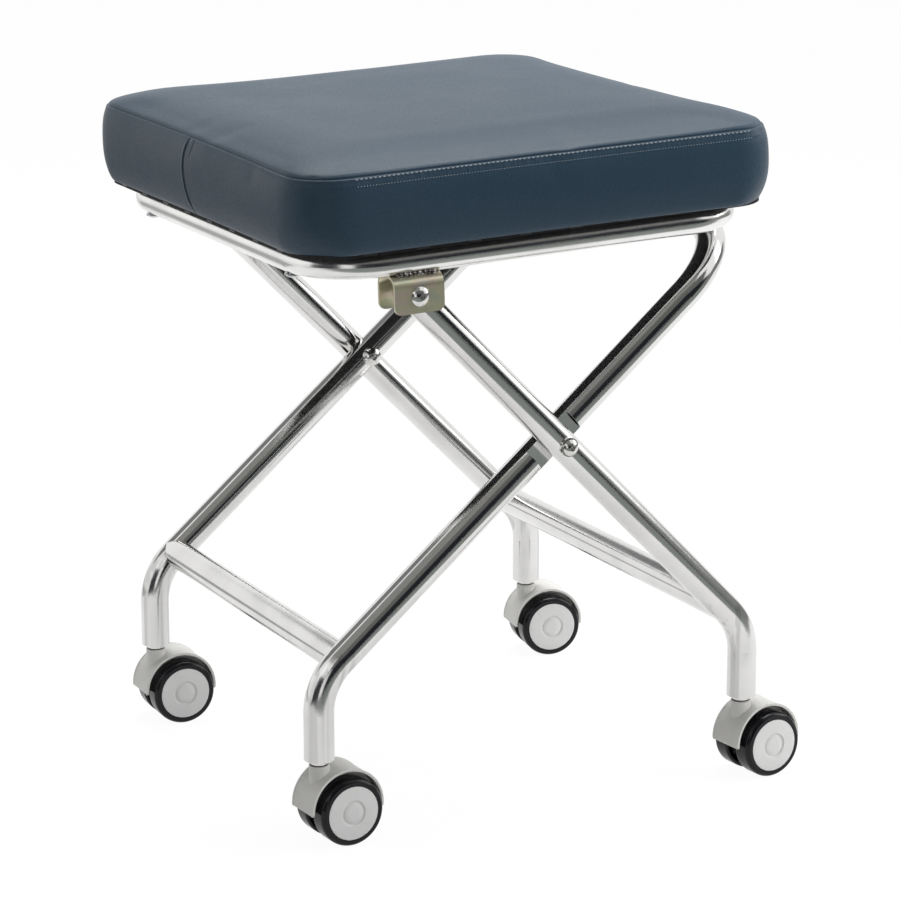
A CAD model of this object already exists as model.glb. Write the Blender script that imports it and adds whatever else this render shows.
# %% [markdown]
# # A shoe fitting stool
# A low padded stool from a shoe shop: a square seat in navy leathercloth on a bent tube ring, two
# crossed frames of polished stainless tube and four twin-wheel casters. The CAD model gives every place
# and size, so this script only dresses it: it adds finishes, swells the cushion, sews its seams and
# moulds the hoods and hub caps. The frame is loaded first and its box is kept, because the dressed stool
# has to stay inside it.

# %% Load the frame
import bisect
import math

import bpy
from mathutils import Matrix, Vector


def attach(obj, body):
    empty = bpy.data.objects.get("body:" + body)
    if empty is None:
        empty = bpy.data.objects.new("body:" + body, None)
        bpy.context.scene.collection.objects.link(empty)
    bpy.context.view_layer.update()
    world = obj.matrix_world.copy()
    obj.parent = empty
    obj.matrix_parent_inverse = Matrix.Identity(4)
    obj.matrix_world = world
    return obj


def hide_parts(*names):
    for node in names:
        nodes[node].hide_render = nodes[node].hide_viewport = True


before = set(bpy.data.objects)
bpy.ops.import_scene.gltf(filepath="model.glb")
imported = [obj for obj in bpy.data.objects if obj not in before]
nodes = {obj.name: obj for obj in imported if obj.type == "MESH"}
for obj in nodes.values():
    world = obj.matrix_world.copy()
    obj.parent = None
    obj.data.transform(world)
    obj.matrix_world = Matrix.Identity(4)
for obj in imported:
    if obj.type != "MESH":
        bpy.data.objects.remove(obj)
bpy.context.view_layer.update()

# %% [markdown]
# ## Measures
# Lengths are in metres, and MM lets them be written in millimetres. The real seat leans a little on its
# pivots and its bar, and each caster has swivelled to its own angle. Modelling on a slope is easy to get
# wrong. So the cushion is made level in the seat's own frame, with its origin at the middle of the ring,
# X to the right and Z square to the seat, and it takes the tip at the end. A hood is made the same way
# in a caster's own frame, with the swivel axis upright at the origin and the axle behind it, at +X.

# %% Places of the seat and the casters
MM = 0.001
OUTER_SLOPE = math.radians(45.506)
INNER_SLOPE = math.radians(40.3)
PIVOT = Vector((-100.093, 0, 399.236)) * MM
RING_RISE, PIVOT_INSET = 24.1 * MM, 100.7 * MM
LEFT_X, RIGHT_X = -165.5 * MM, 177.2 * MM
INNER_Y, OUTER_Y = 150.3 * MM, 168.4 * MM
SEAT_TILT = math.radians(1.7)
SEAT_TIP = Matrix.Translation(PIVOT) @ Matrix.Rotation(-SEAT_TILT, 4, "Y")
SEAT_FRAME = SEAT_TIP @ Matrix.Translation((PIVOT_INSET, 0, RING_RISE))
SEAT_UP = (SEAT_FRAME.to_3x3() @ Vector((0, 0, 1))).normalized()
SEAM_Z = 65.9 * MM
CASTERS = {
    "front_left": (LEFT_X, -INNER_Y, math.radians(3.5)),
    "rear_left": (LEFT_X, INNER_Y, math.radians(-1.7)),
    "front_right": (RIGHT_X, -OUTER_Y, math.radians(5.9)),
    "rear_right": (RIGHT_X, OUTER_Y, math.radians(-9.5)),
}
print("seat frame at", [round(part / MM, 1) for part in SEAT_FRAME.translation], "mm")

# %% [markdown]
# ## Small tools
# In Blender's window, modelling is a round of select, operate, leave edit mode. Operators act on
# whatever is selected, and the loaded nodes are selected too. So each piece starts from an empty
# selection, its faces or edges are picked in code by their place or their normal, and a modifier is
# applied as soon as it is set. A finished piece gets its material, the body that it rides on and the CAD
# nodes that it stands for.

# %% Selection, modifiers and finishing a piece
def start_clean():
    for thing in bpy.context.selected_objects:
        thing.select_set(False)


def make_active(piece):
    start_clean()
    piece.select_set(True)
    bpy.context.view_layer.objects.active = piece


def pick(piece, kind, wanted):
    """Goes to edit mode with the faces, edges or corners selected for which wanted(place) is true."""
    make_active(piece)
    bpy.ops.object.mode_set(mode="EDIT")
    bpy.ops.mesh.select_mode(type=kind)
    bpy.ops.mesh.select_all(action="DESELECT")
    bpy.ops.object.mode_set(mode="OBJECT")
    mesh = piece.data
    places = {
        "FACE": lambda face: (face.center, face.normal),
        "EDGE": lambda edge: tuple(mesh.vertices[i].co for i in edge.vertices),
        "VERT": lambda corner: (corner.co, corner.normal),
    }[kind]
    items = {"FACE": mesh.polygons, "EDGE": mesh.edges, "VERT": mesh.vertices}[kind]
    for item in items:
        item.select = bool(wanted(*places(item)))
    bpy.ops.object.mode_set(mode="EDIT")


def leave_edit():
    bpy.ops.object.mode_set(mode="OBJECT")


def modify(piece, kind, **settings):
    """Adds a modifier and applies it."""
    make_active(piece)
    modifier = piece.modifiers.new(kind.lower(), kind)
    for name, value in settings.items():
        setattr(modifier, name, value)
    bpy.ops.object.modifier_apply(modifier=modifier.name)


def named(name):
    piece = bpy.context.active_object
    piece.name = piece.data.name = name
    return piece


def copied(piece, name, place):
    """A copy with its own mesh, put in its place in the mesh itself."""
    twin = piece.copy()
    twin.data = piece.data.copy()
    twin.name = twin.data.name = name
    bpy.context.scene.collection.objects.link(twin)
    twin.data.transform(place)
    return twin


def dress(piece, finish, body, slot, *stands_for):
    """Gives a finished piece its material, its body and the CAD nodes that it stands for."""
    piece.data.materials.clear()
    piece.data.materials.append(finish)
    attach(piece, body)
    if stands_for:
        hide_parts(*stands_for)
    print(piece.name, len(piece.data.polygons), "faces")


# %% [markdown]
# ## Shader maths
# A finish could be wired by hand in the Shader Editor, but a formula is easier to read than a web of
# nodes. Wire stands for one socket and overloads the usual operators, each of which adds a Math node.

# %% Wire: a socket with arithmetic
class Wire:
    """One output socket, with arithmetic that adds Math nodes."""

    def __init__(self, finish, socket):
        self.finish, self.socket = finish, socket

    def math(self, operation, first, second=0.0):
        return self.finish.node("ShaderNodeMath", {"operation": operation}, {0: first, 1: second})

    def __add__(self, other):
        return self.math("ADD", self, other)

    def __sub__(self, other):
        return self.math("SUBTRACT", self, other)

    def __mul__(self, other):
        return self.math("MULTIPLY", self, other)

    def __abs__(self):
        return self.math("ABSOLUTE", self)

    def __rsub__(self, other):
        return self.math("SUBTRACT", other, self)

    __radd__ = __add__
    __rmul__ = __mul__


# %% [markdown]
# Finish holds one material and adds any other node: its settings come first, because some of them change
# which sockets the node has. Patterns start from Object coordinates, which stay on the piece as it
# moves. A bump is given with its depth in metres, so that it means the same on a large and on a small
# piece.

# %% Finish: one material
class Finish:
    """One material: its nodes, its Principled shader and the few patterns that the finishes share."""

    def __init__(self, name, **sockets):
        self.material = bpy.data.materials.new(name)
        self.material.use_nodes = True
        self.tree = self.material.node_tree
        self.shader = self.tree.nodes["Principled BSDF"]
        for socket, value in sockets.items():
            self.shader.inputs[socket.replace("_", " ")].default_value = value
        self.place = self.node("ShaderNodeTexCoord", out="Object")

    def node(self, kind, settings=None, values=None, out=0):
        """Adds a node: its settings first, then the values or links of its sockets."""
        made = self.tree.nodes.new(kind)
        for name, value in (settings or {}).items():
            if name == "stops":
                ramp = made.color_ramp
                for spot, colour in value[2:]:
                    ramp.elements.new(spot)
                for element, (spot, colour) in zip(ramp.elements, value):
                    element.position, element.color = spot, (*colour, 1)
            else:
                setattr(made, name, value)
        for name, value in (values or {}).items():
            if isinstance(value, Wire):
                self.tree.links.new(value.socket, made.inputs[name])
            else:
                made.inputs[name].default_value = value
        return Wire(self, made.outputs[out])

    def moved(self, direction, distance):
        """The place, moved along a vector."""
        push = self.node("ShaderNodeVectorMath", {"operation": "SCALE"}, {0: direction, "Scale": distance})
        return self.node("ShaderNodeVectorMath", {"operation": "ADD"}, {0: self.place, 1: push})

    def noise(self, scale, detail=2.0, place=None, roughness=0.5):
        return self.node("ShaderNodeTexNoise", values={
            "Vector": place or self.place, "Scale": scale, "Detail": detail, "Roughness": roughness})

    def drawn_out(self, scales, detail, turn=(0, 0, 0)):
        """Noise with a scale of its own along each axis, so that it is squeezed or drawn out."""
        stretched = self.node("ShaderNodeMapping", values={
            "Vector": self.place, "Rotation": turn, "Scale": scales})
        return self.noise(1.0, detail, place=stretched)

    def cells(self, scale, feature="F1", place=None):
        return self.node("ShaderNodeTexVoronoi", {"feature": feature},
                         {"Vector": place or self.place, "Scale": scale})

    def along(self, direction):
        """How far a point lies along a direction, in metres."""
        return self.node("ShaderNodeVectorMath", {"operation": "DOT_PRODUCT"},
                         {0: self.place, 1: direction}, out="Value")

    def between(self, share, low, high):
        """A number from low to high as share goes from 0 to 1."""
        return share * (high - low) + low

    def fade(self, value, low, high):
        """0 below low, 1 above high, smooth between."""
        return self.node("ShaderNodeMapRange", {"interpolation_type": "SMOOTHSTEP"},
                         {"Value": value, "From Min": low, "From Max": high})

    def mixed(self, share, one, other):
        """A colour between one and other."""
        sides = {"Factor": share, 6: one if isinstance(one, Wire) else (*one, 1),
                 7: other if isinstance(other, Wire) else (*other, 1)}
        return self.node("ShaderNodeMix", {"data_type": "RGBA"}, sides, out=2)

    def feed(self, **wires):
        """Links wires to the shader's sockets; bump takes a height and its depth in metres."""
        for socket, wire in wires.items():
            if socket == "bump":
                height, depth = wire
                wire = self.node("ShaderNodeBump", values={"Height": height, "Distance": depth})
                socket = "Normal"
            self.tree.links.new(wire.socket, self.shader.inputs[socket.replace("_", " ")])
        print(self.material.name, len(self.tree.nodes), "nodes")
        return self.material


# %% [markdown]
# ## Finishes
# Stainless tube is polished on a belt, which leaves a mirror with faint marks across it, and the bent
# feet have a few duller streaks. A plain noise would look like dust, so the noise is pressed thin along
# the tube: the coordinate along the tube is a dot product with the tube's direction, and each direction
# gets its own material. The ring under the seat is a shade duller than the legs.

# %% Polished stainless tube
STEEL = (0.76, 0.755, 0.745)
RING_STEEL = (0.85, 0.845, 0.83)
BELT_SQUEEZE = 60
FOOT_TOP, FOOT_FADE = 150 * MM, 20 * MM
UP, RIGHTWARD, REARWARD = Vector((0, 0, 1)), Vector((1, 0, 0)), Vector((0, 1, 0))


def darker(tone, share):
    """The tone with each of its parts at this share."""
    return tuple(share * part for part in tone)


def polished_tube(name, along, tone=STEEL, polish=0.07, streaks=0.0):
    """A mirror with marks across the direction along; polish is its least roughness."""
    finish = Finish(name, Metallic=1.0)
    squeezed = finish.moved(along, finish.along(along) * BELT_SQUEEZE)
    belt = finish.noise(34, 3.0, place=squeezed, roughness=0.65)
    smudge = finish.fade(finish.noise(26, 4.0), 0.35, 0.75)
    on_foot = 1 - finish.fade(finish.along(UP), FOOT_TOP - FOOT_FADE, FOOT_TOP)
    streak = finish.fade(finish.drawn_out((170, 170, 2), 1.0), 0.46, 0.62)
    dull = darker(tone, 0.55)
    tone = finish.mixed(smudge, tone, darker(tone, 0.91))
    tone = finish.mixed(streak * on_foot * streaks, tone, dull)
    rough = finish.between(smudge, polish, polish + 0.06) + belt * 0.06
    return finish.feed(Base_Color=tone, Roughness=rough, bump=(belt + smudge * 0.5, 0.02 * MM))


OUTER_ALONG = Vector((-math.cos(OUTER_SLOPE), 0, math.sin(OUTER_SLOPE)))
INNER_ALONG = Vector((math.cos(INNER_SLOPE), 0, math.sin(INNER_SLOPE)))
outer_tube = polished_tube("polished_outer_tube", OUTER_ALONG, streaks=0.5)
inner_tube = polished_tube("polished_inner_tube", INNER_ALONG, streaks=0.5)
cross_tube = polished_tube("polished_cross_tube", REARWARD)
ring_tube = polished_tube("polished_ring_tube", Vector((0.7, 0.7, 0)), RING_STEEL, 0.16)
print("tube directions", [round(part, 3) for part in (*OUTER_ALONG, *INNER_ALONG)])

# %% [markdown]
# The plated parts differ in tone. The brackets are zinc plated and passivated: the film shifts a little
# from green to pink, which one plain colour can't give, so a slow noise runs through a ramp of four
# tones. The weld is dark with heat tint and has bright glints, screws and stems are bright plate, and
# the staples are dull wire.

# %% Brackets, welds and screws
def passivated_plate():
    finish = Finish("passivated_plate", Metallic=0.8)
    drift = finish.drawn_out((38, 38, 110), 3.0)
    tone = finish.node("ShaderNodeValToRGB", {"stops": [
        (0.30, (0.62, 0.66, 0.55)), (0.46, (0.76, 0.74, 0.52)), (0.58, (0.80, 0.70, 0.56)),
        (0.72, (0.72, 0.72, 0.64))]}, {"Fac": drift})
    scratch = finish.drawn_out((90, 90, 1400), 2.0)
    return finish.feed(Base_Color=tone, Roughness=finish.between(scratch, 0.24, 0.42),
                       bump=(scratch, 0.01 * MM))


def weld_metal():
    finish = Finish("weld_metal", Metallic=0.9)
    heat = finish.noise(420, 3.0)
    tone = finish.node("ShaderNodeValToRGB", {"stops": [
        (0.35, (0.03, 0.028, 0.028)), (0.5, (0.13, 0.11, 0.10)), (0.62, (0.74, 0.72, 0.70))]},
        {"Fac": heat})
    return finish.feed(Base_Color=tone, Roughness=finish.between(heat, 0.40, 0.14),
                       bump=(finish.noise(1500, 3.0), 0.1 * MM))


def plated_metal(name, tone, low, high):
    """Plain plate with a fine speck; its roughness runs from low to high."""
    finish = Finish(name, Metallic=1.0)
    speck = finish.noise(700, 3.0)
    colour = finish.mixed(speck, tone, darker(tone, 0.82))
    return finish.feed(Base_Color=colour, Roughness=finish.between(speck, low, high),
                       bump=(speck, 0.008 * MM))


plate = passivated_plate()
weld = weld_metal()
bright = plated_metal("bright_plate", (0.78, 0.77, 0.75), 0.08, 0.2)
zinc = plated_metal("zinc_plate", (0.68, 0.69, 0.71), 0.2, 0.36)
staple_wire = plated_metal("staple_wire", (0.16, 0.16, 0.17), 0.3, 0.45)

# %% [markdown]
# The hoods and hub caps are moulded in a steel tool that gives them a fine grain, the tread is cast in
# black and nearly glossy, and the nylon and the black plugs are plain satin. One recipe serves them all:
# a fine noise for grain and gloss, and a slow one that moves the tone, because a moulding is never quite
# flat in tone.

# %% Moulded plastic and cast tread
def moulding(name, tone, low, high, grain, depth, gloss=0.5):
    """Roughness runs from low to high over a grain whose depth is in millimetres."""
    finish = Finish(name, Specular_IOR_Level=gloss)
    fine = finish.noise(grain, 2.0)
    cloud = finish.noise(28, 3.0)
    colour = finish.mixed(finish.fade(cloud, 0.3, 0.8), tone, darker(tone, 0.93))
    return finish.feed(Base_Color=colour, Roughness=finish.between(fine, low, high),
                       bump=(fine, depth * MM))


grey_plastic = moulding("grey_moulding", (0.73, 0.725, 0.695), 0.36, 0.5, 2600, 0.018)
cap_plastic = moulding("cap_moulding", (0.78, 0.785, 0.775), 0.30, 0.42, 2600, 0.008)
tread = moulding("cast_tread", (0.004, 0.004, 0.006), 0.10, 0.20, 500, 0.004, gloss=0.28)
nylon = moulding("white_nylon", (0.74, 0.74, 0.71), 0.3, 0.45, 1800, 0.01)
black_plug = moulding("black_plug", (0.025, 0.025, 0.027), 0.35, 0.5, 1800, 0.01)

# %% [markdown]
# Leathercloth is vinyl on a knitted back, embossed with a soft pebble. A picture of leather would repeat
# and stretch, so the pebble is small flat cells with rounded joints, and a slower noise moves the tone
# and the gloss, because a stretched cover shines unevenly. Three things are too shallow to model and
# stay in the bump, which is counted in millimetres: the pebble, the puckers between the two stitch rows
# of the front and the rear, and the valley beside the upright joint of the left side. The thread is the
# cover's blue, but paler.

# %% Leathercloth and thread
NAVY = (0.020, 0.049, 0.080)
NAVY_CLOUD, NAVY_GRAIN = (0.024, 0.053, 0.083), (0.014, 0.036, 0.060)
NAVY_JOINT = (0.006, 0.013, 0.022)
STITCH_DROP = (1.7 * MM, 6.4 * MM)
JOINT_Y, JOINT_Z, JOINT_BOW = 9.9 * MM, 50 * MM, 7.2
VALLEY_OFF, VALLEY_HALF = 2.2 * MM, 3.4 * MM
CREASE_OFF, CREASE_HALF, CREASE_LOW, CREASE_HIGH = 10.5 * MM, 1.6 * MM, 52 * MM, 62 * MM
LONG_SIDE, LEFT_SIDE = (186 * MM, 189 * MM), (-187 * MM, -183 * MM)


def puckers(finish, level):
    """Small slanting gathers between the stitch rows of the front and the rear."""
    gathers = finish.drawn_out((330, 12, 70), 2.0, turn=(0, 0.6, 0))
    high_row, low_row = (SEAM_Z - drop for drop in STITCH_DROP)
    above_low_row = finish.fade(level, low_row - 1 * MM, low_row + 1 * MM)
    below_high_row = 1 - finish.fade(level, high_row, high_row + 1.5 * MM)
    long_sides = finish.fade(abs(finish.along(REARWARD)), *LONG_SIDE)
    return gathers * above_low_row * below_high_row * long_sides


def band_joint(finish, level):
    """The valley beside the upright joint, where the seam pulls the cover in, and a crease next to it."""
    drop = level - JOINT_Z
    off = finish.along(REARWARD) - (JOINT_Y - drop * drop * JOINT_BOW)
    valley = 1 - finish.fade(abs(off + VALLEY_OFF), 0, VALLEY_HALF)
    crease = 1 - finish.fade(abs(off + CREASE_OFF), 0, CREASE_HALF)
    crease = crease * finish.fade(level, CREASE_LOW, CREASE_HIGH)
    left_side = 1 - finish.fade(finish.along(RIGHTWARD), *LEFT_SIDE)
    return (valley + crease) * left_side * (1 - finish.fade(level, SEAM_Z, SEAM_Z + 2 * MM))


def leathercloth():
    finish = Finish("navy_leathercloth", Specular_IOR_Level=0.28, Sheen_Weight=0.07)
    stir = finish.node("ShaderNodeTexNoise", values={"Vector": finish.place, "Scale": 300.0}, out="Color")
    pebble = finish.cells(620, "SMOOTH_F1", finish.moved(stir, 1.2 * MM))
    grain = finish.fade(pebble, 0.15, 0.75)
    cloud = finish.fade(finish.noise(11, 3.0), 0.3, 0.7)
    tone = finish.mixed(cloud, NAVY, NAVY_CLOUD)
    tone = finish.mixed(grain * 0.35, tone, NAVY_GRAIN)
    rough = finish.between(cloud, 0.40, 0.47) + grain * 0.06
    level = finish.along(SEAT_UP) - SEAT_FRAME.translation.dot(SEAT_UP)
    height = (1 - grain + finish.noise(4200, 2.0) * 0.25) * 0.035
    joint = band_joint(finish, level)
    height = height + puckers(finish, level) * 0.5 - joint
    tone = finish.mixed(joint * 0.4, tone, NAVY_JOINT)
    return finish.feed(Base_Color=tone, Roughness=rough, bump=(height, 1 * MM))


def sewing_thread():
    finish = Finish("navy_thread", Roughness=0.45)
    twist = finish.node("ShaderNodeTexWave", {"bands_direction": "DIAGONAL"},
                        {"Vector": finish.place, "Scale": 900.0, "Distortion": 1.0})
    tone = finish.mixed(twist, (0.24, 0.29, 0.34), (0.52, 0.58, 0.64))
    return finish.feed(Base_Color=tone, bump=(twist, 0.05 * MM))


leather = leathercloth()
thread = sewing_thread()

# %% [markdown]
# Under the cover are a plywood board, which carries the seat, a block of foam, and a black lining that
# closes the underside and shows as a dark strip below the cushion. The lining gets a plain weave from
# two crossed waves. The board and the foam are hidden, but each still gets a finish of its own, for a
# view with the cover taken away.

# %% Lining, board and foam
def lining_cloth():
    finish = Finish("black_lining", Roughness=0.9)
    over, under = (finish.node("ShaderNodeTexWave", {"bands_direction": axis}, {
        "Vector": finish.place, "Scale": 420.0, "Distortion": 0.6}) for axis in "XY")
    weave = over * under
    tone = finish.mixed(weave, (0.010, 0.010, 0.011), (0.030, 0.030, 0.032))
    return finish.feed(Base_Color=tone, bump=(weave, 0.15 * MM))


def birch_plywood():
    finish = Finish("birch_plywood", Roughness=0.6)
    grain = finish.drawn_out((12, 160, 160), 5.0)
    tone = finish.mixed(grain, (0.60, 0.44, 0.27), (0.42, 0.28, 0.16))
    return finish.feed(Base_Color=tone, bump=(grain, 0.1 * MM))


def cut_foam():
    finish = Finish("cut_foam", Roughness=0.95)
    pores = finish.cells(700)
    tone = finish.mixed(pores, (0.62, 0.58, 0.45), (0.80, 0.77, 0.66))
    return finish.feed(Base_Color=tone, bump=(pores, 0.5 * MM))


lining = lining_cloth()
board = birch_plywood()
foam = cut_foam()

# %% [markdown]
# ## Dressing the CAD nodes
# Bent tubes, folded brackets, screws and washers are hard parts that a drawing says exactly, so
# modelling them again would only add faults. They keep their CAD mesh and take a finish. The nodes that
# get a stand-in further down, such as the cover, are dressed here too, so that no node is ever left
# without a material.

# %% Finishes for the CAD nodes
WEARERS = [
    (leather, "seat_cover"), (foam, "seat_foam"), (board, "seat_board"), (lining, "dust_cloth"),
    (staple_wire, "staples"), (zinc, "t_nuts seat_screws"), (ring_tube, "seat_ring bar_saddles"),
    (plate, "bracket_front bracket_rear"), (weld, "bracket_welds"),
    (outer_tube, "outer_leg_front outer_leg_rear"), (inner_tube, "inner_frame_tube"),
    (cross_tube, "outer_cross_tube inner_cross_tube"), (nylon, "seat_pivot_bushes crossing_spacers"),
    (black_plug, "outer_caster_sockets inner_caster_sockets"),
    (bright, "seat_pivot_bolts seat_pivot_nuts crossing_screws crossing_saddle_washers"),
    (bright, "crossing_sleeve_nuts crossing_inner_washers outer_caster_stems inner_caster_stems"),
]
FINISH_OF = {name: finish for finish, names in WEARERS for name in names.split()}
for caster in CASTERS:
    FINISH_OF[f"hood_{caster}"] = grey_plastic
    FINISH_OF[f"axle_{caster}"] = bright
    for side in "ab":
        FINISH_OF[f"wheel_{caster}_{side}"] = tread
        FINISH_OF[f"cap_{caster}_{side}"] = cap_plastic
for name, node in nodes.items():
    node.data.materials.clear()
    node.data.materials.append(FINISH_OF[name])
print(len(nodes), "CAD nodes dressed")

# %% [markdown]
# ## Cushion blank
# The real cushion is a top panel and a side band, sewn together and pulled over foam that wraps the
# board. A box with bevelled edges would get its corners and its crown wrong, and a sculpted one couldn't
# be changed. So the blank is drawn in rows, level in the seat's own frame: the rings of a square grid
# become the top panel, pressed into a plan with round corners and closer together near the seam, and
# rows pulled out from its rim become the side band, the lower edge and the inside of the edge. First
# come the sizes. BAND holds those rows from the seam down, each as (inset, height) in millimetres, and
# CROWN_KNOTS says how soon the top panel has risen to its crown, as (millimetres from the seam, share of
# the crown).

# %% Sizes of the cushion
CUSHION_LEN, CUSHION_WID, CUSHION_R = 386 * MM, 389 * MM, 38.4 * MM
CROWN, SEAM_INSET, SIDE_DRAW = 13.5 * MM, 4.7 * MM, 1.4 * MM
TUCK, TUCK_BELOW = 5 * MM, 36
SAG, SAG_TO_RIGHT, SEAM_LIFT = 1.7, 1.0, 3.4
RINGS = 24
RING_CROWD, LIFT_DEPTH = 1.35, 0.12
CROWN_KNOTS = [(0, 0), (7, 0.33), (25, 0.66), (62, 0.90), (120, 1)]
BAND = [
    (3.5, 63.6), (2.4, 61), (1.4, 57.8), (0.7, 54), (0.2, 49), (0, 43.5), (0, 38), (0.1, 32.5),
    (0.4, 27.5), (0.9, 23.2), (1.5, 19.6), (2.3, 16.6), (3.3, 14.4), (4.6, 13), (6, 12.7), (7.6, 13.3),
    (7.9, 17.5), (7.9, 22.6)]
LOWEST = 12
PINNED_ROWS, SEAM_PIN = 5, 0.35
straight_x, straight_y = CUSHION_LEN / 2 - CUSHION_R, CUSHION_WID / 2 - CUSHION_R
print("straight sides", round(2 * straight_x / MM, 1), "and", round(2 * straight_y / MM, 1), "mm")

# %% [markdown]
# Seen from above, the cushion is a square with round corners and sides that are drawn in a little. A
# point on the rim of a plain square is carried to the same share of a quarter of that outline: first
# along the straight run, then round the corner. The way out from there is needed too, so both are given
# back.

# %% Plan of the cushion
def on_plan(x, y, inset):
    """Where a point on the rim of the square lands on the cushion's plan, and the way out from there."""
    turned = abs(x) > abs(y)
    along, straight, other = (y, straight_y, straight_x) if turned else (x, straight_x, straight_y)
    run = abs(along) * (straight + CUSHION_R * math.pi / 4)
    angle = max(0.0, run - straight) / CUSHION_R
    reach = min(run, straight) + (CUSHION_R - inset) * math.sin(angle)
    depth = other + (CUSHION_R - inset) * math.cos(angle)
    spot = [math.copysign(reach, along), math.copysign(depth, x if turned else y)]
    out = [math.copysign(math.sin(angle), along), math.copysign(math.cos(angle), x if turned else y)]
    bow = SIDE_DRAW * math.cos(min(1.0, run / straight) * math.pi / 2)
    spot[1] -= math.copysign(bow, spot[1])
    if turned:
        spot.reverse()
        out.reverse()
    return Vector((*spot, 0)), Vector((*out, 0))


print("corner of the plan at", [round(part / MM, 1) for part in on_plan(1, 1, 0)[0].xy], "mm")

# %% [markdown]
# No cushion is quite even. In this one the seam of the left side rises a few millimetres to the rear,
# and the foam hangs lower to the right. Two small functions give the lift of the seam and the curve of
# the crown, so that they can be read, printed and changed without touching the mesh.

# %% Lift of the seam and curve of the crown
LIFT_FROM_X, LIFT_FROM_Y = -60 * MM, -160 * MM
LIFT_RUN_X, LIFT_RUN_Y = 110 * MM, 260 * MM
KNOT_EASE = 1.4


def seam_lift(spot):
    """How many millimetres the seam stands higher on the left side, which rises to the rear."""
    rearward = min(1.0, max(0.0, (spot.y - LIFT_FROM_Y) / LIFT_RUN_Y))
    leftward = min(1.0, max(0.0, (LIFT_FROM_X - spot.x) / LIFT_RUN_X))
    return SEAM_LIFT * math.sin(rearward * math.pi / 2) * leftward * leftward * (3 - 2 * leftward)


def along_knots(knots, value):
    """A curve through a few knots, each (value, height), that leaves the first knot steeply."""
    for (low, first), (high, second) in zip(knots, knots[1:]):
        if value <= high:
            share = max(0.0, (value - low) / (high - low))
            ease = 1.0 if low == 0 else KNOT_EASE
            return first + (second - first) * math.sin(share * math.pi / 2) ** ease
    return knots[-1][1]


left_rear = Vector((-CUSHION_LEN / 2, CUSHION_WID / 2, 0))
print("seam lift at the left rear corner", round(seam_lift(left_rear), 2), "mm")

# %% [markdown]
# Now the mesh. In edit mode the rim of the grid is selected and pulled down once for each row of the
# band, the last row is closed with a face, and the normals are turned outwards. The rows are still only
# marks at that point: each corner remembers its ring in x and y and its row in z, and one loop moves it
# to its real place. Two vertex groups are filled on the way, for the cloth and for the seam.

# %% Grid, side rows and the underside
start_clean()
bpy.ops.mesh.primitive_grid_add(x_subdivisions=2 * RINGS, y_subdivisions=2 * RINGS, size=2)
cushion = named("seat_cushion")
pick(cushion, "EDGE", lambda a, b: max(map(abs, (a + b) / 2)) > 0.9999)
for _ in BAND:
    bpy.ops.mesh.extrude_region_move(TRANSFORM_OT_translate={"value": (0, 0, -1)})
bpy.ops.mesh.edge_face_add()
bpy.ops.mesh.select_all(action="SELECT")
bpy.ops.mesh.normals_make_consistent(inside=False)
leave_edit()
pinned = cushion.vertex_groups.new(name="pinned")
on_seam = cushion.vertex_groups.new(name="on_seam")
for corner in cushion.data.vertices:
    x, y, level = corner.co
    ring = max(abs(x), abs(y))
    if level < -0.5:
        inset, height = BAND[round(-level) - 1]
        spot, out = on_plan(x, y, 0)
        lowness = (max(0, TUCK_BELOW - height) / (TUCK_BELOW - LOWEST)) ** 2
        tuck = TUCK * (2 * abs(out.x * out.y)) * lowness
        height -= (SAG + SAG_TO_RIGHT * spot.x / (CUSHION_LEN / 2)) * lowness
        height += seam_lift(spot) * (height * MM / SEAM_Z) ** 3
        spot, out = on_plan(x, y, min(inset * MM + tuck, BAND[-1][0] * MM))
        if round(-level) > len(BAND) - PINNED_ROWS:
            pinned.add([corner.index], 1, "REPLACE")
    elif ring > 0:
        spot, out = on_plan(x / ring, y / ring, SEAM_INSET)
        depth = (1 - ring) ** RING_CROWD
        rise = along_knots(CROWN_KNOTS, depth * CUSHION_LEN / 2 / MM)
        lift = seam_lift(spot) * math.exp(-depth / LIFT_DEPTH)
        spot, height = spot * (1 - depth), (SEAM_Z + CROWN * rise) / MM + lift
        if ring > 0.999:
            on_seam.add([corner.index], 1, "REPLACE")
            pinned.add([corner.index], SEAM_PIN, "REPLACE")
    else:
        spot, height = Vector((0, 0, 0)), (SEAM_Z + CROWN) / MM
    corner.co = (spot.x, spot.y, height * MM)
print("blank", len(cushion.data.vertices), "corners")

# %% [markdown]
# ## Swelling
# Foam pushes the cover outwards and the seams hold it back, which gives a cushion its drawn-in middles
# and full corners. Moving points by hand would look stiff, so for a few frames the blank becomes cloth
# under a small pressure, with no gravity. Its lower edge is pinned and its seam is held loosely.

# %% Cloth with pressure, then applied
SWELL_CAP = 2.2 * MM
SWELL_FRAMES = 20


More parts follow.
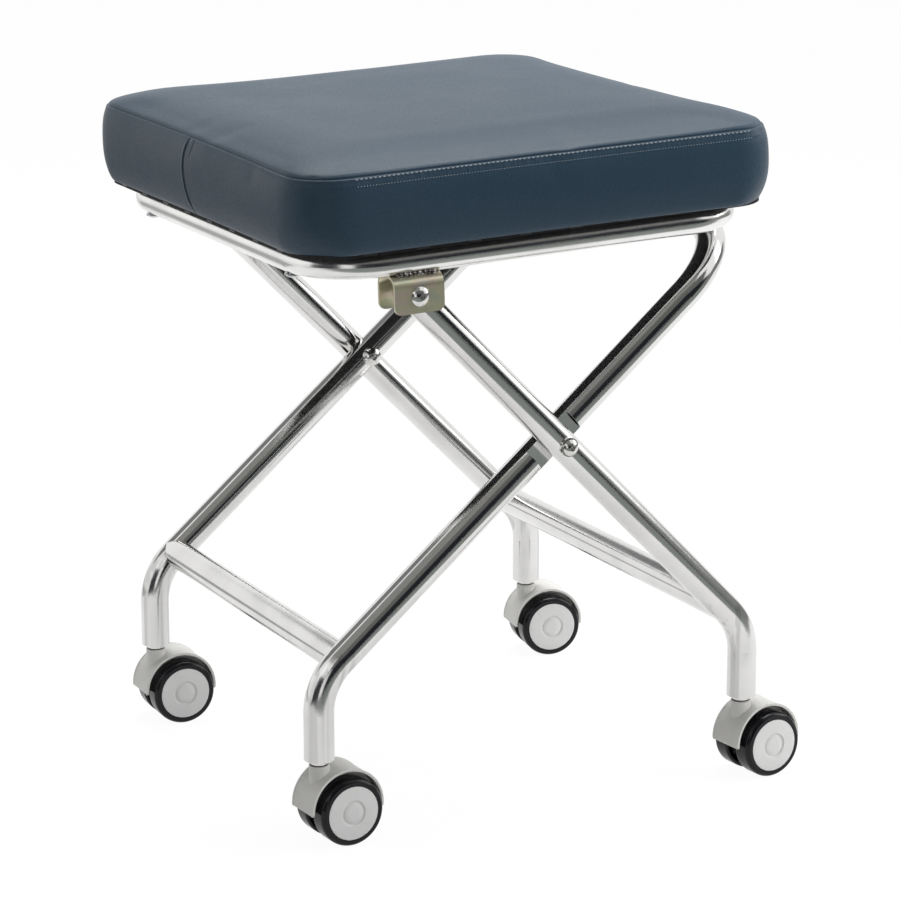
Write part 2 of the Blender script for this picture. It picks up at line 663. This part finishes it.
def swell(piece):
    blank = [corner.co.copy() for corner in piece.data.vertices]
    make_active(piece)
    cloth = piece.modifiers.new("swell", "CLOTH")
    cloth.settings.quality = 6
    cloth.settings.mass = 0.3
    cloth.settings.tension_stiffness = cloth.settings.compression_stiffness = 15
    cloth.settings.bending_stiffness = 5
    cloth.settings.use_pressure = True
    cloth.settings.uniform_pressure_force = 3
    cloth.settings.effector_weights.gravity = 0
    cloth.settings.vertex_group_mass = "pinned"
    cloth.settings.pin_stiffness = 1
    cloth.collision_settings.use_collision = False
    cloth.point_cache.frame_start, cloth.point_cache.frame_end = 1, SWELL_FRAMES
    for frame_number in range(1, SWELL_FRAMES + 1):
        bpy.context.scene.frame_set(frame_number)
    bpy.ops.object.modifier_apply(modifier=cloth.name)
    bpy.context.scene.frame_set(1)
    moved = 0.0
    for corner, start in zip(piece.data.vertices, blank):
        step = corner.co - start
        if step.length > SWELL_CAP:
            step *= SWELL_CAP / step.length
        moved = max(moved, step.length)
        corner.co = start + step
    print("swelled by at most", round(moved / MM, 2), "mm")


swell(cushion)

# %% [markdown]
# ## Top seam
# The top panel meets the side band in a sewn groove with a narrow lip below it. Bump alone would vanish
# at the outline, so the groove is real. The seam's edge loop is found by its vertex group, its places
# are kept, and a bevel of eight segments rounds it and gives the rows that a groove needs.

# %% Rounded seam edge
SEAM_BEVEL = 3.2 * MM
on_seam = cushion.vertex_groups["on_seam"]
seam_ring = [corner.co.copy() for corner in cushion.data.vertices
             if any(group.group == on_seam.index for group in corner.groups)]
seam_ring.sort(key=lambda spot: math.atan2(spot.y, spot.x))
seam_angles = [math.atan2(spot.y, spot.x) for spot in seam_ring]
make_active(cushion)
bpy.ops.object.mode_set(mode="EDIT")
bpy.ops.mesh.select_mode(type="VERT")
bpy.ops.mesh.select_all(action="DESELECT")
cushion.vertex_groups.active_index = on_seam.index
bpy.ops.object.vertex_group_select()
bpy.ops.mesh.select_mode(type="EDGE")
bpy.ops.mesh.bevel(offset=SEAM_BEVEL, segments=8, affect="EDGES", profile=0.5)
leave_edit()
print("seam of", len(seam_ring), "corners")

# %% [markdown]
# Each corner near the seam now moves along its normal, by a bell curve of its distance from the seam: in
# at the seam, and out on the band just below. Sculpting would do it too, but never evenly all the way
# round. One level of subdivision makes both soft.

# %% Groove and lip along the seam
GROOVE, GROOVE_HALF = 1.3 * MM, 0.55 * MM
LIP, LIP_HALF, LIP_AT = 0.5 * MM, 0.9 * MM, -1.7 * MM
SEAM_REACH = 12 * MM


def from_seam(spot):
    """Distance from the seam: above 0 on the panel, below 0 on the band."""
    count = len(seam_ring)
    ahead = bisect.bisect(seam_angles, math.atan2(spot.y, spot.x))
    near = min((ahead - 1, ahead, ahead + 1), key=lambda i: (seam_ring[i % count] - spot).length)
    run = (seam_ring[(near + 1) % count] - seam_ring[(near - 1) % count]).normalized()
    off = spot - seam_ring[near % count]
    off -= run * off.dot(run)
    outward = Vector((run.y, -run.x, 0))
    return off.z - off.dot(outward)


places = [(from_seam(corner.co), corner.normal.copy()) for corner in cushion.data.vertices]
for corner, (away, normal) in zip(cushion.data.vertices, places):
    if corner.co.z > SEAM_Z - SEAM_REACH and abs(away) < SEAM_REACH:
        groove = GROOVE * math.exp(-(away / GROOVE_HALF) ** 2)
        lip = LIP * math.exp(-((away - LIP_AT) / LIP_HALF) ** 2)
        corner.co += normal * (lip - groove)
modify(cushion, "SUBSURF", levels=1)
print("cushion", len(cushion.data.vertices), "corners")

# %% [markdown]
# The front and the rear are topstitched twice: long stitches on the lip, and short ones a few
# millimetres lower, which look like dots. A drawn line would stay flat in a close view. So one stitch is
# a small bead with few faces, an array makes as many as are needed, and each bead is drawn out to its
# row's length and laid where a ray from outside meets the band.

# %% Stitch rows
STITCH_R, STITCH_HALF, STITCH_PITCH = 0.36 * MM, (1.05 * MM, 0.4 * MM), (3.5 * MM, 2.3 * MM)
STITCH_FROM, STITCH_TO = -150 * MM, 166 * MM
ARRAY_STEP = 4 * MM
bpy.context.view_layer.update()
laid = []
for side in (-1, 1):
    for drop, half, pitch in zip(STITCH_DROP, STITCH_HALF, STITCH_PITCH):
        for number in range(int((STITCH_TO - STITCH_FROM) / pitch)):
            outside = Vector((STITCH_FROM + number * pitch, side * CUSHION_WID, SEAM_Z - drop))
            spot = cushion.ray_cast(outside, (0, -side, 0))[1]
            laid.append((spot, half / STITCH_R))
start_clean()
bpy.ops.mesh.primitive_uv_sphere_add(segments=8, ring_count=5, radius=STITCH_R)
stitches = named("band_stitches")
corners = len(stitches.data.vertices)
modify(stitches, "ARRAY", count=len(laid), use_relative_offset=False, use_constant_offset=True,
       constant_offset_displace=(ARRAY_STEP, 0, 0))
for corner in stitches.data.vertices:
    number = corner.index // corners
    spot, stretch = laid[number]
    corner.co.x = (corner.co.x - number * ARRAY_STEP) * stretch
    corner.co += spot
print(len(laid), "stitches")

# %% [markdown]
# The side band is one long strip, closed by an upright joint in the left side, where its rear end laps
# over its front end. Cutting the cushion's mesh there would spoil its even rows. So the lap is a thin
# strip of its own: a grid laid on the band with rays, along a slightly bowed line. LAP gives its section
# as (off, rise) in millimetres: a step at its edge, then a slow run back into the band. Its long borders
# and its lower end lie under the cover.

# %% Lap of the upright joint
LAP = [(-0.35, -0.5), (-0.1, 0.25), (0.2, 0.55), (0.8, 0.62), (1.8, 0.5), (3.2, 0.2), (4.8, -0.35)]
LAP_ROWS, LAP_WALL, LAP_LOW, LAP_FADE = 48, 0.9 * MM, 16 * MM, 4 * MM
LAP_TOP, LAP_HEAD, LAP_SUNK = SEAM_Z - 0.5 * MM, 0.4, 0.3
start_clean()
bpy.ops.mesh.primitive_grid_add(x_subdivisions=len(LAP) - 1, y_subdivisions=LAP_ROWS, size=2)
lap = named("band_lap")
for corner in lap.data.vertices:
    off, rise = LAP[round((corner.co.x + 1) / 2 * (len(LAP) - 1))]
    height = LAP_LOW + (LAP_TOP - LAP_LOW) * (corner.co.y + 1) / 2
    drop = height - JOINT_Z
    from_end = min(1.0, (height - LAP_LOW) / LAP_FADE, (LAP_TOP - height) / LAP_FADE + LAP_HEAD)
    rise = rise * from_end - LAP_SUNK * (1 - from_end)
    outside = Vector((-CUSHION_LEN, JOINT_Y - drop * drop * JOINT_BOW + off * MM, height))
    spot = cushion.ray_cast(outside, (1, 0, 0))[1]
    corner.co = spot - Vector((rise * MM, 0, 0))
pick(lap, "FACE", lambda middle, normal: True)
bpy.ops.mesh.flip_normals()
leave_edit()
modify(lap, "SOLIDIFY", thickness=LAP_WALL, offset=-1)
print("lap", round((LAP_TOP - LAP_LOW) / MM, 1), "mm high")

# %% [markdown]
# The three pieces of the cushion were made level. They now take the tip of the seat in their meshes, so
# that each object stays at the origin, and ride on the seat. The cushion stands for the CAD cover and
# the CAD foam, and it is marked as padded, so that the export knows it as a soft piece.

# %% Into the seat's place
for piece in (stitches, lap, cushion):
    piece.data.transform(SEAT_FRAME)
    make_active(piece)
    bpy.ops.object.shade_smooth()
dress(stitches, thread, "seat", "faux_leather")
dress(lap, leather, "seat", "faux_leather")
dress(cushion, leather, "seat", "faux_leather", "seat_cover", "seat_foam")

# %% [markdown]
# ## Caster hoods
# A hood is one moulding: an arched shell over both wheels, a web between them and a neck that takes the
# stem. The CAD hood has the sizes, but its corners are too crisp for a moulding. Shell, web and boss are
# all turned about a line along Y, so they start from one helper that makes a drum lying that way. It
# makes the upright drums too, which the neck, the washer and the cap start from.

# %% Sizes of the hood, and a drum
TRAIL, AXLE_Z = 16.2 * MM, 25 * MM
HOOD_R, HOOD_WID, HOOD_WALL = 28.6 * MM, 31 * MM, 1.8 * MM
HOOD_X, HOOD_Z = TRAIL - 1.3 * MM, AXLE_Z + 2.5 * MM
HOOD_FROM, HOOD_TO = math.radians(-6), math.radians(184)
RIM_WID, RIM_STEP, RIM_RISE = 1.5 * MM, 0.35 * MM, 0.5 * MM
HOOD_CORNER, HOOD_EDGE, NECK_EDGE = 1.8 * MM, 0.45 * MM, 0.5 * MM
EDGE_ANGLE = math.radians(50)
SAME_PLACE = 0.001 * MM


def across_y(place, quarter=1):
    """Lays a thing made along Z down along Y, by a quarter turn either way, and places it."""
    return Matrix.Translation(place) @ Matrix.Rotation(quarter * math.pi / 2, 4, "X")


def joined(first, *others):
    start_clean()
    for piece in (first, *others):
        piece.select_set(True)
    bpy.context.view_layer.objects.active = first
    bpy.ops.object.join()
    return first


def drum(name, radius, width, place, vertices=96, ends="NGON", lying=True):
    """A cylinder lying along Y, or upright, with its place in its mesh."""
    start_clean()
    bpy.ops.mesh.primitive_cylinder_add(vertices=vertices, radius=radius, depth=width, end_fill_type=ends)
    piece = named(name)
    piece.data.transform(across_y(place) if lying else Matrix.Translation(place))
    return piece


print("hood arch", round(math.degrees(HOOD_TO - HOOD_FROM)), "degrees")

# %% [markdown]
# The shell starts as the side wall of a drum. The part below is deleted, the four free corners are
# rounded with a vertex bevel, two cuts along each side mark a rim that is raised a little, and a wall
# and soft edges come last. A bent box would need far more cuts for the same round arch. It is made once,
# in the caster's own frame, and later copied to the four casters.

# %% The arched shell
def outside_arc(middle, normal):
    angle = math.atan2(middle.z, middle.x)
    if angle < HOOD_FROM:
        angle += 2 * math.pi
    return angle > HOOD_TO


shell = drum("hood_shell", HOOD_R, HOOD_WID, (0, 0, 0), ends="NOTHING")
pick(shell, "FACE", outside_arc)
bpy.ops.mesh.delete(type="FACE")
leave_edit()
low_ends = [min((spot.co.z, spot.co.x) for spot in shell.data.vertices if spot.co.x * side > 0)
            for side in (-1, 1)]
pick(shell, "VERT", lambda spot, normal: any(
    abs(spot.z - z) + abs(spot.x - x) < SAME_PLACE for z, x in low_ends))
bpy.ops.mesh.bevel(offset=HOOD_CORNER, segments=6, affect="VERTICES")
for inset in (RIM_WID, RIM_WID + RIM_STEP):
    for side in (-1, 1):
        bpy.ops.mesh.select_all(action="SELECT")
        bpy.ops.mesh.bisect(plane_co=(0, side * (HOOD_WID / 2 - inset), 0), plane_no=(0, 1, 0))
leave_edit()
for spot in shell.data.vertices:
    if abs(spot.co.y) > HOOD_WID / 2 - RIM_WID - RIM_STEP / 2:
        away = math.hypot(spot.co.x, spot.co.z)
        spot.co.x *= 1 + RIM_RISE / away
        spot.co.z *= 1 + RIM_RISE / away
modify(shell, "SOLIDIFY", thickness=HOOD_WALL, offset=-1)
modify(shell, "BEVEL", width=HOOD_EDGE, segments=3, angle_limit=EDGE_ANGLE)
shell.data.transform(Matrix.Translation((HOOD_X, 0, HOOD_Z)))
print("shell", len(shell.data.polygons), "faces")

# %% [markdown]
# The web stands between the two wheels and holds the boss of the axle. Both are drums too. The neck is a
# post on the swivel axis, and insets sink a recess and the bore of the stem into its top: NECK_STEPS
# holds them as (inset, rise) in millimetres. Its foot has to follow the arch exactly, which is what a
# Boolean is for: a wide drum that ends inside the shell's wall is taken away from it.

# %% Web, boss and neck
WEB_HALF, BOSS_R = 4.5 * MM, 11 * MM
NECK_R, NECK_TOP = 7.5 * MM, 59 * MM
NECK_STEPS, BORE_DEPTH = [(1.65, 0), (1.4, -1.1), (1.2, 0)], 6 * MM
WEB_FOOT = HOOD_Z - 2 * MM
web = drum("hood_web", HOOD_R - HOOD_WALL / 2, 2 * WEB_HALF, (HOOD_X, 0, HOOD_Z))
pick(web, "FACE", lambda middle, normal: True)
bpy.ops.mesh.bisect(plane_co=(0, 0, WEB_FOOT), plane_no=(0, 0, 1), use_fill=True, clear_inner=True)
leave_edit()
boss = drum("hood_boss", BOSS_R, 2 * WEB_HALF - 0.2 * MM, (TRAIL, 0, AXLE_Z), vertices=48)
neck = drum("hood_neck", NECK_R, NECK_TOP - HOOD_Z, (0, 0, (NECK_TOP + HOOD_Z) / 2), lying=False)
pick(neck, "FACE", lambda middle, normal: normal.z > 0.9)
for inward, rise in NECK_STEPS:
    bpy.ops.mesh.inset(thickness=inward * MM, depth=rise * MM)
bpy.ops.mesh.extrude_region_move(TRANSFORM_OT_translate={"value": (0, 0, -BORE_DEPTH)})
leave_edit()
modify(neck, "BEVEL", width=NECK_EDGE, segments=3, angle_limit=EDGE_ANGLE)
under_shell = drum("under_shell", HOOD_R - HOOD_WALL / 2, 2 * HOOD_WID, (HOOD_X, 0, HOOD_Z))
modify(neck, "BOOLEAN", object=under_shell, operation="DIFFERENCE", solver="EXACT")
bpy.data.objects.remove(under_shell)
hood = joined(shell, web, boss, neck)
make_active(hood)
bpy.ops.object.shade_smooth_by_angle(angle=math.radians(35))
print("hood", len(hood.data.polygons), "faces")

# %% [markdown]
# A thin black washer fills the gap under the collar of the stem. It could be cut from a disc with a
# Boolean, but a hole that runs straight through needs none: the two flat faces are inset and bridged,
# which opens it.

# %% Collar washer
WASHER_R, WASHER_HOLE_R, WASHER_THICK, WASHER_GAP = 6.1 * MM, 3.3 * MM, 0.8 * MM, 0.05 * MM
washer_z = NECK_TOP + WASHER_THICK / 2 + WASHER_GAP
washer = drum("collar_washer", WASHER_R, WASHER_THICK, (0, 0, washer_z), vertices=64, lying=False)
pick(washer, "FACE", lambda middle, normal: abs(normal.z) > 0.9)
bpy.ops.mesh.inset(thickness=WASHER_R - WASHER_HOLE_R)
bpy.ops.mesh.bridge_edge_loops()
leave_edit()
print("washer", len(washer.data.polygons), "faces")

# %% [markdown]
# Each wheel has a pale hub cap with a soft ring pressed into it. That is a turned form, which a spin of
# its section would give too. Here a disc is inset again and again instead, and each inset steps down or
# up, because that keeps the face closed in the middle. RING_STEPS holds the insets from the rim inwards,
# as (inset, rise) in millimetres.

# %% Hub cap
CAP_R, CAP_WALL, CAP_FACE, CAP_SINK = 20 * MM, 2.5 * MM, 21.1 * MM, 0.3 * MM
RING_STEPS = [
    (0.9, 0.1), (9.3, 0.1), (0.35, -0.4), (0.4, -0.6), (1.1, -0.1), (0.5, 0.55), (0.5, 0.4), (3, 0.1)]
cap = drum("hub_cap", CAP_R, CAP_WALL, (0, 0, CAP_FACE - CAP_WALL / 2 - CAP_SINK), lying=False)
pick(cap, "FACE", lambda middle, normal: normal.z > 0.9)
for inward, rise in RING_STEPS:
    bpy.ops.mesh.inset(thickness=inward * MM, depth=rise * MM)
leave_edit()
modify(cap, "BEVEL", width=0.3 * MM, segments=3, angle_limit=EDGE_ANGLE)
make_active(cap)
bpy.ops.object.shade_smooth_by_angle(angle=math.radians(40))
highest = max(spot.co.z for spot in cap.data.vertices)
print("cap face at", round(highest / MM, 2), "mm from the middle plane")

# %% [markdown]
# The four casters are the same article, so the hood, the washer and the cap are copied, each copy with
# its own mesh. A caster's stand puts a copy on its swivel axis and turns it to its swivel angle. A cap
# was made flat, so it is also turned a quarter towards its own side: one way for wheel a, the other way
# for wheel b. The hood and washer ride on the caster, and a cap rides on its wheel and rolls with it.

# %% Copies for the four casters
for name, (x, y, swivel) in CASTERS.items():
    stand = Matrix.Translation((x, y, 0)) @ Matrix.Rotation(swivel, 4, "Z")
    dress(copied(hood, f"moulded_hood_{name}", stand), grey_plastic, f"caster_{name}", "grey_plastic",
          f"hood_{name}")
    dress(copied(washer, f"collar_washer_{name}", stand), black_plug, f"caster_{name}", "black_plastic")
    for side, quarter in (("a", 1), ("b", -1)):
        on_wheel = stand @ across_y((TRAIL, 0, AXLE_Z), quarter)
        dress(copied(cap, f"moulded_cap_{name}_{side}", on_wheel), cap_plastic, f"wheel_{name}_{side}",
              "grey_plastic", f"cap_{name}_{side}")
for pattern in (hood, washer, cap):
    bpy.data.objects.remove(pattern)

# %% [markdown]
# ## Camera
# The photograph is a packshot on white, taken with a long lens from the front left, a little above the
# seat. A camera could be moved by eye until the picture looks right, but it was worked out instead: its
# turn, height, distance and focal length are those that put the wheels, tube ends and cushion corners of
# the frame where the photograph has them. The lens is given in picture widths, which is the same for
# every picture size.

# %% Camera
TARGET = Vector((17.85, 0, 233.0)) * MM
AZIMUTH, ELEVATION = math.radians(-27.52), math.radians(14.768)
DISTANCE = 2576.8 * MM
FOCUS_IN_WIDTHS, SENSOR = 3381.3 / 900, 36
back = Vector((math.sin(AZIMUTH) * math.cos(ELEVATION), -math.cos(AZIMUTH) * math.cos(ELEVATION),
               math.sin(ELEVATION)))
start_clean()
bpy.ops.object.camera_add(location=TARGET + back * DISTANCE,
                          rotation=(math.pi / 2 - ELEVATION, 0, AZIMUTH))
camera = bpy.context.active_object
camera.data.sensor_width = SENSOR
camera.data.lens = FOCUS_IN_WIDTHS * SENSOR
camera.data.clip_start, camera.data.clip_end = 0.1, 30
bpy.context.scene.camera = camera
bpy.context.scene.view_settings.view_transform = "Standard"
print("lens", round(camera.data.lens, 1), "mm")

# %% [markdown]
# ## Floor and world
# A packshot stands on white paper that runs up behind the piece. Here a flat sheet is enough, because
# the white world takes over behind it. Lit paper alone comes out grey in places, so the floor mixes two
# things by the kind of ray: for the camera and in mirrors it is mostly a white glow, and for the rest
# plain paper.

# %% Floor
FLOOR_SIZE, FLOOR_GLOW, GLOW_SEEN, GLOW_MIRRORED = 14, 1.04, 0.92, 0.62


def lit_floor():
    finish = Finish("studio_floor", Roughness=0.9)
    grain = finish.noise(3.0, 2.0)
    finish.feed(Base_Color=finish.mixed(grain, (0.86, 0.86, 0.86), (0.83, 0.83, 0.83)))
    seen = finish.node("ShaderNodeLightPath", out="Is Camera Ray")
    mirrored = finish.node("ShaderNodeLightPath", out="Is Glossy Ray")
    through = finish.node("ShaderNodeLightPath", out="Is Transmission Ray")
    glow = finish.node("ShaderNodeEmission", values={"Color": (1, 1, 1, 1), "Strength": FLOOR_GLOW})
    lifted = finish.node("ShaderNodeMixShader", values={
        0: seen * GLOW_SEEN + mirrored * GLOW_MIRRORED + through * GLOW_MIRRORED,
        1: Wire(finish, finish.shader.outputs[0]), 2: glow})
    finish.tree.links.new(lifted.socket, finish.tree.nodes["Material Output"].inputs[0])
    return finish.material


start_clean()
bpy.ops.mesh.primitive_plane_add(size=FLOOR_SIZE, location=(0, 0, 0))
floor = named("studio_floor_sheet")
floor.data.materials.append(lit_floor())

# %% [markdown]
# The world is all that stands round the stool. A picture of a studio could light it, but a plain white
# is what the photograph has. It works by the kind of ray too: full white for the camera and in
# reflections, and only a mild fill for diffuse light, so that the undersides stay dark.

# %% World
WORLD_FILL = 0.40
world = bpy.data.worlds.new("studio_world")
bpy.context.scene.world = world
world.use_nodes = True
sky = world.node_tree
path = sky.nodes.new("ShaderNodeLightPath")
white_for = path.outputs["Is Camera Ray"]
for ray in ("Is Glossy Ray", "Is Transmission Ray"):
    either = sky.nodes.new("ShaderNodeMath")
    either.operation = "MAXIMUM"
    sky.links.new(white_for, either.inputs[0])
    sky.links.new(path.outputs[ray], either.inputs[1])
    white_for = either.outputs[0]
fill = sky.nodes.new("ShaderNodeMapRange")
fill.inputs["To Min"].default_value = WORLD_FILL
fill.inputs["To Max"].default_value = 1.0
sky.links.new(white_for, fill.inputs["Value"])
ambient = sky.nodes["Background"]
ambient.inputs["Color"].default_value = (1, 1, 1, 1)
sky.links.new(fill.outputs[0], ambient.inputs["Strength"])
print("world", len(sky.nodes), "nodes")

# %% [markdown]
# ## Lamps
# A packshot is lit with softboxes, and an area lamp is one. The large one overhead makes the top of the
# seat and the tops of the hoods bright. The one at the front right lifts the front of the cushion, and
# it isn't mirrored, because its square would show in every tube. Two weak ones at the sides leave a thin
# highlight along the tubes. Sun or point lamps would give hard shadows, which the photograph doesn't
# have.

# %% Softboxes
LIT_SPOT = (0, 0, 0.3)


def softbox(name, place, aim, size, power, mirrored=True):
    start_clean()
    bpy.ops.object.light_add(type="AREA", location=place)
    lamp = bpy.context.active_object
    lamp.name = name
    lamp.data.shape = "RECTANGLE"
    lamp.data.size, lamp.data.size_y = size
    lamp.data.energy = power
    lamp.rotation_euler = (Vector(aim) - Vector(place)).to_track_quat("-Z", "Y").to_euler()
    lamp.visible_glossy = mirrored
    print(name, power, "W")


softbox("overhead_softbox", (0.35, 0.5, 1.9), (0, 0, 0.35), (1.6, 1.1), 28)
softbox("left_softbox", (-2.1, -0.3, 1.2), LIT_SPOT, (0.7, 1.2), 0.5)
softbox("front_right_softbox", (1.8, -1.5, 1.3), LIT_SPOT, (1.0, 1.0), 22, mirrored=False)
softbox("right_softbox", (2.0, -0.45, 1.3), LIT_SPOT, (0.6, 1.2), 8)

# %% [markdown]
# ## Cards
# Polished tube shows nothing of its own, only what stands round it. In a white room it would all but
# vanish, so a photographer sets grey and black cards about the piece, and each gives the tubes a darker
# line. Stripes painted into the metal would stand still when the frame folds, so the same is done here:
# a card is a plane with a plain glow that only reflections see. The two cards at the left also keep
# diffuse light off, because that side of the stool is the darker one.

# %% Cards that the tubes mirror
CARD_RISE = 0.002


def card(name, place, aim, size, tone, shades=False):
    """A card that only reflections see, or that also keeps the light of the room off."""
    start_clean()
    bpy.ops.mesh.primitive_plane_add(size=1)
    sheet = named(name)
    turn = (Vector(aim) - Vector(place)).to_track_quat("Z", "Y").to_matrix().to_4x4()
    sheet.data.transform(Matrix.Translation(place) @ turn @ Matrix.Diagonal((*size, 1, 1)))
    finish = Finish(name + "_paper")
    glow = finish.node("ShaderNodeEmission", values={"Color": (*tone, 1), "Strength": 1.0})
    finish.tree.links.new(glow.socket, finish.tree.nodes["Material Output"].inputs[0])
    sheet.data.materials.append(finish.material)
    sheet.visible_camera = sheet.visible_shadow = sheet.visible_transmission = False
    sheet.visible_diffuse = shades
    print(name, size, "m")


def floor_card(name, x, y, size, tone, shades=False):
    """A card that lies face up, a little above the floor."""
    card(name, (x, y, CARD_RISE), (x, y, 1), size, tone, shades)


floor_card("near_floor_card", 0.6, -1.0, (4.4, 1.0), (0.25, 0.27, 0.255))
floor_card("far_floor_card", 0.6, -2.05, (4.4, 1.1), (0.11, 0.118, 0.112))
card("dark_wall_card", (1.6, -2.62, 0.62), (1.6, 0, 0.62), (6.0, 1.2), (0.018, 0.020, 0.024))
card("grey_wall_card", (0.1, -2.64, 2.00), (0.1, 0, 2.00), (4.4, 1.6), (0.14, 0.14, 0.135))
card("ceiling_card", (-1.1, -1.15, 2.82), (-1.1, -1.15, 0), (3.2, 3.0), (0.27, 0.27, 0.26))
card("back_ceiling_card", (-0.45, 2.2, 3.05), (-0.45, 0, 1.6), (6.1, 2.7), (0.22, 0.22, 0.225))
floor_card("back_left_floor_card", -1.15, 1.5, (1.5, 1.9), (0.42, 0.42, 0.42))
floor_card("left_floor_card", -2.05, -1.2, (1.5, 2.6), (0.09, 0.095, 0.09), shades=True)
card("left_wall_card", (-2.9, -1.5, 0.75), (0, -1.5, 0.75), (2.6, 1.5), (0.04, 0.04, 0.045), shades=True)
card("right_wall_card", (2.75, -0.6, 0.36), (0, -0.6, 0.36), (3.0, 0.7), (0.22, 0.225, 0.22))
